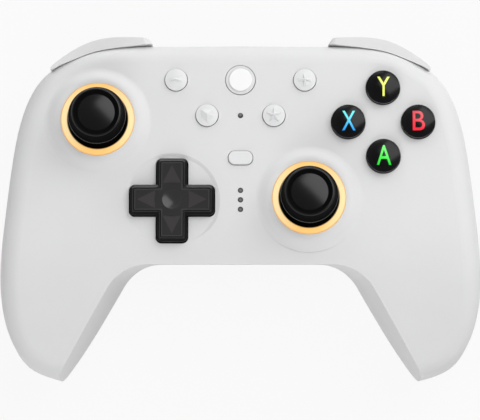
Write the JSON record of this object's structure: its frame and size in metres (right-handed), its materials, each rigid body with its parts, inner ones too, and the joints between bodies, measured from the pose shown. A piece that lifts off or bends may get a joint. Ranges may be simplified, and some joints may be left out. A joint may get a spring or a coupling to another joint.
{
  "type": "gamepad controller",
  "caption": "Two-grip wireless game controller with offset thumbsticks in lit rings, a direction pad, round face buttons, sprung shoulder buttons and triggers.",
  "frame": {"origin": "middle of the footprint, on the surface the controller rests on", "axes": "+X to the right of the face, +Y from the player to the shoulder buttons, +Z out of the face"},
  "size_m": [0.147, 0.1032, 0.06],
  "materials": {
    "shell": "fine matt moulded texture",
    "small_button": "smooth moulded",
    "light_guide": "translucent, lit from below",
    "stick_rubber": "soft-touch rubber",
    "dark_pad": "satin moulded",
    "gloss_button": "polished, under a clear dome",
    "dark_lens": "smoked light pipe",
    "module_plastic": "moulded",
    "steel": "plated",
    "silicone": "translucent grey silicone",
    "board": "solder resist",
    "switch": "moulded",
    "contact": "gold plated",
    "foil": "foil pouch"
  },
  "bodies": {
    "root": {"front_shell": "shell", "rear_shell": "shell", "bumper_pins": "steel", "trigger_pins": "steel", "trigger_springs": "steel", "charging_contacts": "contact", "left_light_ring": "light_guide", "right_light_ring": "light_guide", "left_stick_module": "module_plastic", "right_stick_module": "module_plastic", "dpad_pad": "silicone", "face_button_pad": "silicone", "status_lens": "dark_lens", "profile_lens": "dark_lens", "main_board": "board", "face_switches": "switch", "edge_switches": "switch", "usb_port": "steel", "battery": "foil", "left_motor": "steel", "right_motor": "steel", "case_screws": "steel", "board_screws": "steel"},
    "left_stick_rocker_x": {"left_stick_inner_rocker": "module_plastic"},
    "left_stick_hub": {"left_stick_hub": "module_plastic"},
    "left_stick_rocker_y": {"left_stick_outer_rocker": "module_plastic"},
    "left_stick": {"left_stick_lever": "steel", "left_stick_cap": "stick_rubber"},
    "right_stick_rocker_x": {"right_stick_inner_rocker": "module_plastic"},
    "right_stick_hub": {"right_stick_hub": "module_plastic"},
    "right_stick_rocker_y": {"right_stick_outer_rocker": "module_plastic"},
    "right_stick": {"right_stick_lever": "steel", "right_stick_cap": "stick_rubber"},
    "dpad_pivot": {"dpad_pivot": "module_plastic"},
    "dpad": {"dpad": "dark_pad"},
    "button_a": {"button_a": "gloss_button"},
    "button_b": {"button_b": "gloss_button"},
    "button_x": {"button_x": "gloss_button"},
    "button_y": {"button_y": "gloss_button"},
    "minus_button": {"minus_button": "small_button"},
    "plus_button": {"plus_button": "small_button"},
    "menu_button": {"menu_button": "small_button"},
    "star_button": {"star_button": "small_button"},
    "home_button": {"home_button": "small_button"},
    "profile_button": {"profile_button": "small_button"},
    "left_bumper": {"left_bumper": "shell"},
    "left_trigger": {"left_trigger": "shell"},
    "left_inner_button": {"left_inner_button": "small_button"},
    "left_paddle": {"left_paddle": "shell"},
    "left_motor_weight": {"left_motor_weight": "steel"},
    "right_bumper": {"right_bumper": "shell"},
    "right_trigger": {"right_trigger": "shell"},
    "right_inner_button": {"right_inner_button": "small_button"},
    "right_paddle": {"right_paddle": "shell"},
    "right_motor_weight": {"right_motor_weight": "steel"},
    "pair_button": {"pair_button": "small_button"},
    "mode_slider": {"mode_slider": "small_button"}
  },
  "joints": [
    {"name": "left_stick_tilt_y", "type": "hinge", "parent": "root", "child": "left_stick_rocker_x", "pos_m": [-0.0437, 0.025, 0.038], "axis": [1, 0, 0], "range_deg": [-18, 18], "stiffness_Nm_per_rad": 0.02},
    {"name": "left_stick_tilt_x", "type": "hinge", "parent": "left_stick_rocker_x", "child": "left_stick_hub", "pos_m": [-0.0437, 0.025, 0.038], "axis": [0, 1, 0], "range_deg": [-18, 18], "stiffness_Nm_per_rad": 0.02},
    {"name": "left_stick_press", "type": "slide", "parent": "left_stick_hub", "child": "left_stick", "axis": [0, 0, -1], "range_m": [0, 0.0005], "stiffness_N_per_m": 1500, "springref_m": -0.0005},
    {"name": "left_stick_follow_x", "type": "hinge", "parent": "root", "child": "left_stick_rocker_y", "pos_m": [-0.0437, 0.025, 0.038], "axis": [0, 1, 0], "range_deg": [-18, 18]},
    {"name": "right_stick_tilt_y", "type": "hinge", "parent": "root", "child": "right_stick_rocker_x", "pos_m": [0.0209, 0.0006, 0.038], "axis": [1, 0, 0], "range_deg": [-18, 18], "stiffness_Nm_per_rad": 0.02},
    {"name": "right_stick_tilt_x", "type": "hinge", "parent": "right_stick_rocker_x", "child": "right_stick_hub", "pos_m": [0.0209, 0.0006, 0.038], "axis": [0, 1, 0], "range_deg": [-18, 18], "stiffness_Nm_per_rad": 0.02},
    {"name": "right_stick_press", "type": "slide", "parent": "right_stick_hub", "child": "right_stick", "axis": [0, 0, -1], "range_m": [0, 0.0005], "stiffness_N_per_m": 1500, "springref_m": -0.0005},
    {"name": "right_stick_follow_x", "type": "hinge", "parent": "root", "child": "right_stick_rocker_y", "pos_m": [0.0209, 0.0006, 0.038], "axis": [0, 1, 0], "range_deg": [-18, 18]},
    {"name": "dpad_tilt_y", "type": "hinge", "parent": "root", "child": "dpad_pivot", "pos_m": [-0.0209, 0, 0.0435], "axis": [1, 0, 0], "range_deg": [-3, 3], "stiffness_Nm_per_rad": 0.3},
    {"name": "dpad_tilt_x", "type": "hinge", "parent": "dpad_pivot", "child": "dpad", "pos_m": [-0.0209, 0, 0.0435], "axis": [0, 1, 0], "range_deg": [-3, 3], "stiffness_Nm_per_rad": 0.3},
    {"name": "button_a_press", "type": "slide", "parent": "root", "child": "button_a", "axis": [0, 0, -1], "range_m": [0, 0.0015], "stiffness_N_per_m": 300, "springref_m": -0.0004},
    {"name": "button_b_press", "type": "slide", "parent": "root", "child": "button_b", "axis": [0, 0, -1], "range_m": [0, 0.0015], "stiffness_N_per_m": 300, "springref_m": -0.0004},
    {"name": "button_x_press", "type": "slide", "parent": "root", "child": "button_x", "axis": [0, 0, -1], "range_m": [0, 0.0015], "stiffness_N_per_m": 300, "springref_m": -0.0004},
    {"name": "button_y_press", "type": "slide", "parent": "root", "child": "button_y", "axis": [0, 0, -1], "range_m": [0, 0.0015], "stiffness_N_per_m": 300, "springref_m": -0.0004},
    {"name": "minus_press", "type": "slide", "parent": "root", "child": "minus_button", "axis": [0, 0, -1], "range_m": [0, 0.0005], "stiffness_N_per_m": 600, "springref_m": -0.0002},
    {"name": "plus_press", "type": "slide", "parent": "root", "child": "plus_button", "axis": [0, 0, -1], "range_m": [0, 0.0005], "stiffness_N_per_m": 600, "springref_m": -0.0002},
    {"name": "menu_press", "type": "slide", "parent": "root", "child": "menu_button", "axis": [0, 0, -1], "range_m": [0, 0.0005], "stiffness_N_per_m": 600, "springref_m": -0.0002},
    {"name": "star_press", "type": "slide", "parent": "root", "child": "star_button", "axis": [0, 0, -1], "range_m": [0, 0.0005], "stiffness_N_per_m": 600, "springref_m": -0.0002},
    {"name": "home_press", "type": "slide", "parent": "root", "child": "home_button", "axis": [0, 0, -1], "range_m": [0, 0.0005], "stiffness_N_per_m": 600, "springref_m": -0.0002},
    {"name": "profile_press", "type": "slide", "parent": "root", "child": "profile_button", "axis": [0, 0, -1], "range_m": [0, 0.0005], "stiffness_N_per_m": 600, "springref_m": -0.0002},
    {"name": "left_bumper_press", "type": "hinge", "parent": "root", "child": "left_bumper", "pos_m": [-0.0256, 0.0455, 0.0375], "axis": [0, -1, 0], "range_deg": [0, 1.6], "stiffness_Nm_per_rad": 1.5, "springref_deg": -0.57},
    {"name": "left_trigger_pull", "type": "hinge", "parent": "root", "child": "left_trigger", "pos_m": [-0.0449, 0.0385, 0.0245], "axis": [-1, 0, 0], "range_deg": [0, 16], "stiffness_Nm_per_rad": 0.12, "springref_deg": -6.88},
    {"name": "left_inner_press", "type": "slide", "parent": "root", "child": "left_inner_button", "axis": [0, -1, 0], "range_m": [0, 0.0005], "stiffness_N_per_m": 600, "springref_m": -0.0002},
    {"name": "left_motor_spin", "type": "hinge", "parent": "root", "child": "left_motor_weight", "pos_m": [-0.048, -0.016, 0.016], "axis": [1, 0, 0], "continuous": true},
    {"name": "right_bumper_press", "type": "hinge", "parent": "root", "child": "right_bumper", "pos_m": [0.0256, 0.0455, 0.0375], "axis": [0, 1, 0], "range_deg": [0, 1.6], "stiffness_Nm_per_rad": 1.5, "springref_deg": -0.57},
    {"name": "right_trigger_pull", "type": "hinge", "parent": "root", "child": "right_trigger", "pos_m": [0.0449, 0.0385, 0.0245], "axis": [-1, 0, 0], "range_deg": [0, 16], "stiffness_Nm_per_rad": 0.12, "springref_deg": -6.88},
    {"name": "right_inner_press", "type": "slide", "parent": "root", "child": "right_inner_button", "axis": [0, -1, 0], "range_m": [0, 0.0005], "stiffness_N_per_m": 600, "springref_m": -0.0002},
    {"name": "right_motor_spin", "type": "hinge", "parent": "root", "child": "right_motor_weight", "pos_m": [0.048, -0.016, 0.016], "axis": [1, 0, 0], "continuous": true},
    {"name": "left_paddle_press", "type": "hinge", "parent": "root", "child": "left_paddle", "pos_m": [-0.0195, 0.0015, 0.0136], "axis": [0, 1, 0], "range_deg": [0, 1.5], "stiffness_Nm_per_rad": 0.3, "springref_deg": -1.15},
    {"name": "right_paddle_press", "type": "hinge", "parent": "root", "child": "right_paddle", "pos_m": [0.0195, 0.0015, 0.0136], "axis": [0, -1, 0], "range_deg": [0, 1.5], "stiffness_Nm_per_rad": 0.3, "springref_deg": -1.15},
    {"name": "pair_press", "type": "slide", "parent": "root", "child": "pair_button", "axis": [0, -1, 0], "range_m": [0, 0.0005], "stiffness_N_per_m": 400, "springref_m": -0.0003},
    {"name": "mode_slide", "type": "slide", "parent": "root", "child": "mode_slider", "axis": [1, 0, 0], "range_m": [-0.003, 0.003]}
  ],
  "couplings": [
    {"joint": "left_stick_follow_x", "follows": "left_stick_tilt_x", "ratio": 1},
    {"joint": "right_stick_follow_x", "follows": "right_stick_tilt_x", "ratio": 1}
  ]
}
